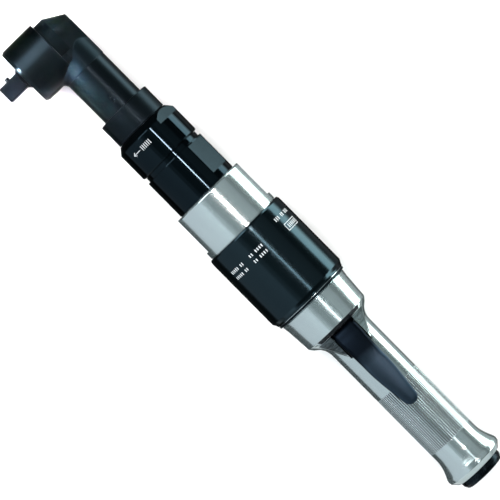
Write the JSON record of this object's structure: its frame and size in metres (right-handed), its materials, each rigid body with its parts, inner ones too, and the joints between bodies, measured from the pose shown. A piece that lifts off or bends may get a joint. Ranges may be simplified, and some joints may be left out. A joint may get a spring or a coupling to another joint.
{
  "type": "air ratchet",
  "caption": "Slim in-line air tool with a right-angle square-drive head, wrench-flat nut and gear case, turned motor housing with black sleeve, and a tapered handle with a thumb lever.",
  "frame": {"origin": "middle of the square drive's end face", "axes": "-Y the way the square drive points; +X along the tool from the angle head to the air inlet; +Z the side that carries the throttle lever"},
  "size_m": [0.3386, 0.0653, 0.0512],
  "materials": {
    "black_oxide": "black oxide, fine satin",
    "satin_silver": "fine-turned, polished satin",
    "black_sleeve": "semi-gloss black",
    "lever_black": "satin blue-black",
    "gear_steel": "machined, oiled",
    "bearing_steel": "ground and polished",
    "drive_steel": "ground, phosphated",
    "bronze": "machined bronze",
    "iron_liner": "bored and honed iron",
    "vane_phenolic": "cut laminate",
    "spring_steel": "drawn wire",
    "felt_grey": "pressed felt",
    "seal_rubber": "moulded rubber"
  },
  "bodies": {
    "housing": {"air_tube": "bronze", "angle_head": "black_oxide", "bearing_retainer": "black_oxide", "carrier_bearing": "bearing_steel", "collar_set_screw": "bearing_steel", "cylinder_liner": "iron_liner", "exhaust_deflector": "black_oxide", "exhaust_muffler": "felt_grey", "front_end_plate": "iron_liner", "gear_case": "black_oxide", "grip_sleeve": "black_sleeve", "handle": "satin_silver", "inlet_bushing": "gear_steel", "inlet_screen": "bronze", "lever_pin": "bearing_steel", "motor_housing": "satin_silver", "neck_collar": "black_oxide", "nose_bearing_outer": "bearing_steel", "pinion_front_bearing": "bearing_steel", "pinion_rear_bearing": "bearing_steel", "pinion_spacer": "iron_liner", "rear_end_plate": "iron_liner", "ring_gear": "gear_steel", "rotor_front_bearing": "bearing_steel", "rotor_rear_bearing": "bearing_steel", "sleeve_lock_ring": "black_sleeve", "stem_seal": "seal_rubber", "top_bushing": "bronze", "valve_cap": "gear_steel", "valve_seat": "bronze", "valve_spring": "spring_steel"},
    "rotor_assembly": {"rotor": "gear_steel", "sun_gear": "gear_steel", "vane_1": "vane_phenolic", "vane_2": "vane_phenolic", "vane_3": "vane_phenolic", "vane_4": "vane_phenolic", "vane_5": "vane_phenolic"},
    "carrier_assembly": {"planet_carrier": "gear_steel", "bevel_pinion": "gear_steel", "planet_pin_1": "bearing_steel", "planet_pin_2": "bearing_steel", "planet_pin_3": "bearing_steel"},
    "output_spindle": {"square_spindle": "drive_steel", "driven_gear": "gear_steel", "nose_bearing_inner": "bearing_steel", "detent_spring": "spring_steel"},
    "ball_set": {"nose_bearing_balls": "bearing_steel"},
    "detent": {"detent_pin": "bearing_steel"},
    "lever": {"throttle_lever": "lever_black"},
    "valve": {"valve_stem": "bearing_steel"},
    "nut": {"coupling_nut": "black_oxide"},
    "planet_1": {"planet_gear_1": "gear_steel"},
    "planet_2": {"planet_gear_2": "gear_steel"},
    "planet_3": {"planet_gear_3": "gear_steel"}
  },
  "joints": [
    {"name": "rotor_spin", "type": "hinge", "parent": "housing", "child": "rotor_assembly", "pos_m": [0.14, 0.0403, 0], "axis": [1, 0, 0], "continuous": true},
    {"name": "carrier_spin", "type": "hinge", "parent": "housing", "child": "carrier_assembly", "pos_m": [0.09, 0.0403, 0], "axis": [1, 0, 0], "continuous": true},
    {"name": "output_spin", "type": "hinge", "parent": "housing", "child": "output_spindle", "pos_m": [0, 0.02, 0], "axis": [0, 1, 0], "continuous": true},
    {"name": "ball_set_spin", "type": "hinge", "parent": "housing", "child": "ball_set", "pos_m": [0, 0.02, 0], "axis": [0, 1, 0], "continuous": true},
    {"name": "planet_1_spin", "type": "hinge", "parent": "carrier_assembly", "child": "planet_1", "pos_m": [0.107, 0.0403, -0.009], "axis": [1, 0, 0], "continuous": true},
    {"name": "planet_2_spin", "type": "hinge", "parent": "carrier_assembly", "child": "planet_2", "pos_m": [0.107, 0.04809, 0.0045], "axis": [1, 0, 0], "continuous": true},
    {"name": "planet_3_spin", "type": "hinge", "parent": "carrier_assembly", "child": "planet_3", "pos_m": [0.107, 0.03251, 0.0045], "axis": [1, 0, 0], "continuous": true},
    {"name": "detent_press", "type": "slide", "parent": "output_spindle", "child": "detent", "axis": [1, 0, 0], "range_m": [0, 0.0018], "stiffness_N_per_m": 900, "springref_m": -0.0012, "deforming": ["detent_spring"]},
    {"name": "lever_press", "type": "hinge", "parent": "housing", "child": "lever", "pos_m": [0.2135, 0.0403, 0.014], "axis": [0, 1, 0], "range_deg": [0, 6.5], "stiffness_Nm_per_rad": 3, "springref_deg": -4.58},
    {"name": "valve_slide", "type": "slide", "parent": "housing", "child": "valve", "axis": [0, 0, -1], "range_m": [0, 0.00145], "deforming": ["valve_spring"]},
    {"name": "nut_turn", "type": "hinge", "parent": "housing", "child": "nut", "pos_m": [0.07, 0.0403, 0], "axis": [1, 0, 0], "range_deg": [0, 60]}
  ],
  "couplings": [
    {"joint": "carrier_spin", "follows": "rotor_spin", "ratio": 0.22222},
    {"joint": "output_spin", "follows": "rotor_spin", "ratio": 0.15278},
    {"joint": "ball_set_spin", "follows": "rotor_spin", "ratio": 0.067313},
    {"joint": "planet_1_spin", "follows": "rotor_spin", "ratio": -0.62222},
    {"joint": "planet_2_spin", "follows": "rotor_spin", "ratio": -0.62222},
    {"joint": "planet_3_spin", "follows": "rotor_spin", "ratio": -0.62222},
    {"joint": "valve_slide", "follows": "lever_press", "m_per_rad": 0.0125}
  ]
}
